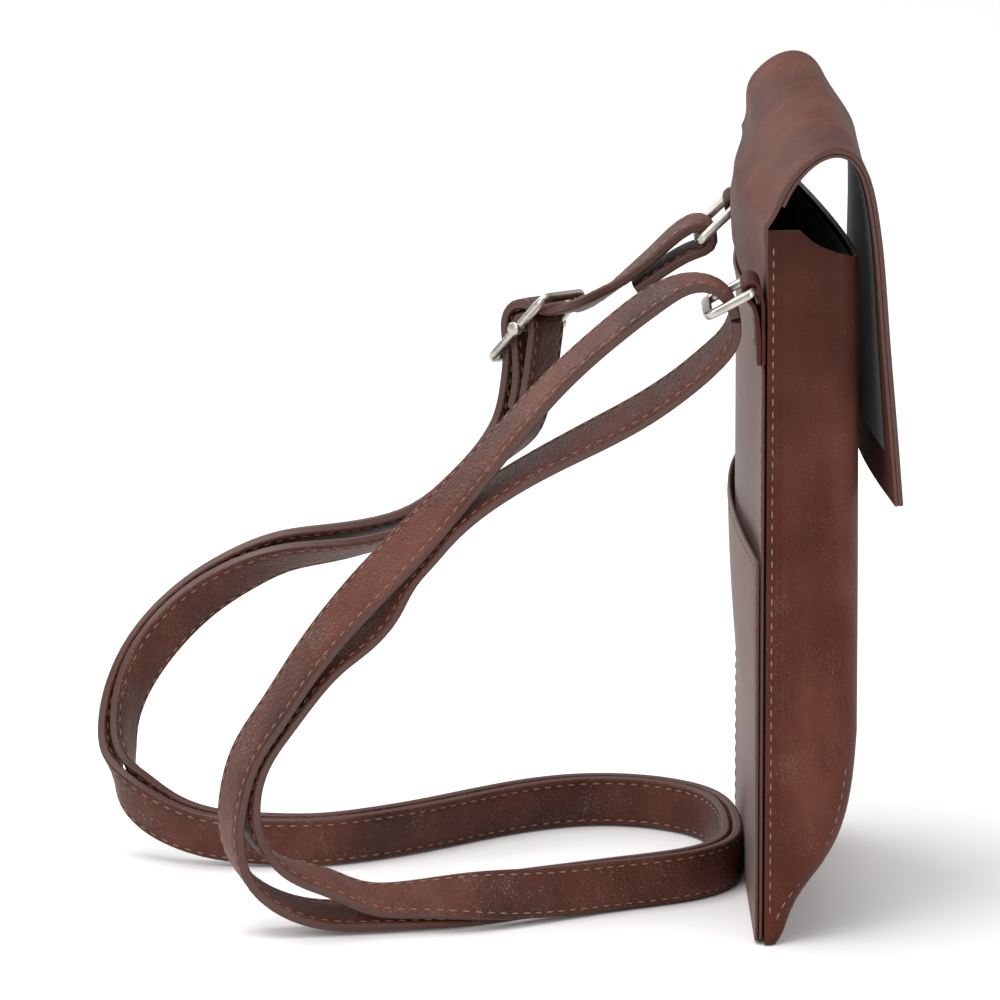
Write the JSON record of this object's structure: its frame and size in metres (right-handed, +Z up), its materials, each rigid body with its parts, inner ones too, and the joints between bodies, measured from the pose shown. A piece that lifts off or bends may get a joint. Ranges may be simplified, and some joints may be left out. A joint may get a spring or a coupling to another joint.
{
  "type": "crossbody purse",
  "caption": "Slim upright leather crossbody purse with a fold-over flap, back pocket, ringed tabs and a long stitched strap with a slide adjuster.",
  "frame": {"origin": "middle of the back panel's bottom edge, on the surface that the purse stands on", "axes": "+X across the purse, -Y out of its front with the flap, +Z up"},
  "size_m": [0.116, 0.1895, 0.1911],
  "materials": {
    "body_leather": "waxed dark red-brown leather, moulded",
    "backing_leather": "waxed dark red-brown leather",
    "pocket_leather": "waxed dark red-brown leather",
    "flap_leather": "waxed dark red-brown leather",
    "flap_lining_leather": "leather margin round a dark lining",
    "tab_leather": "waxed dark red-brown leather",
    "strap_leather": "stitched waxed leather with dark grain",
    "lining_cloth": "dark woven lining",
    "snap_metal": "nickel",
    "ring_metal": "antique nickel",
    "slide_metal": "antique nickel"
  },
  "bodies": {
    "body": {"back_panel": "body_leather", "backing_panel": "backing_leather", "pocket_panel": "pocket_leather", "back_lining": "lining_cloth", "front_shell": "body_leather", "front_lining": "lining_cloth", "snap_socket": "snap_metal", "snap_washer": "snap_metal", "near_tab": "tab_leather", "far_tab": "tab_leather", "slide_frame": "slide_metal", "slide_bar": "slide_metal", "strap_through_run": "strap_leather", "strap_return_run": "strap_leather"},
    "flap": {"flap_leather": "flap_leather", "flap_lining": "flap_lining_leather", "snap_stud": "snap_metal"},
    "near_ring": {"near_ring": "ring_metal"},
    "far_ring": {"far_ring": "ring_metal"}
  },
  "joints": [
    {"name": "flap_fold", "type": "hinge", "parent": "body", "child": "flap", "pos_m": [0, 0, 0.172], "axis": [-1, 0, 0], "range_deg": [0, 100]},
    {"name": "near_ring_swing", "type": "hinge", "parent": "body", "child": "near_ring", "pos_m": [-0.0487, 0.0039, 0.158], "axis": [1, 0, 0], "range_deg": [-6, 6]},
    {"name": "far_ring_swing", "type": "hinge", "parent": "body", "child": "far_ring", "pos_m": [0.0487, 0.0039, 0.156], "axis": [1, 0, 0], "range_deg": [-3, 0]}
  ]
}
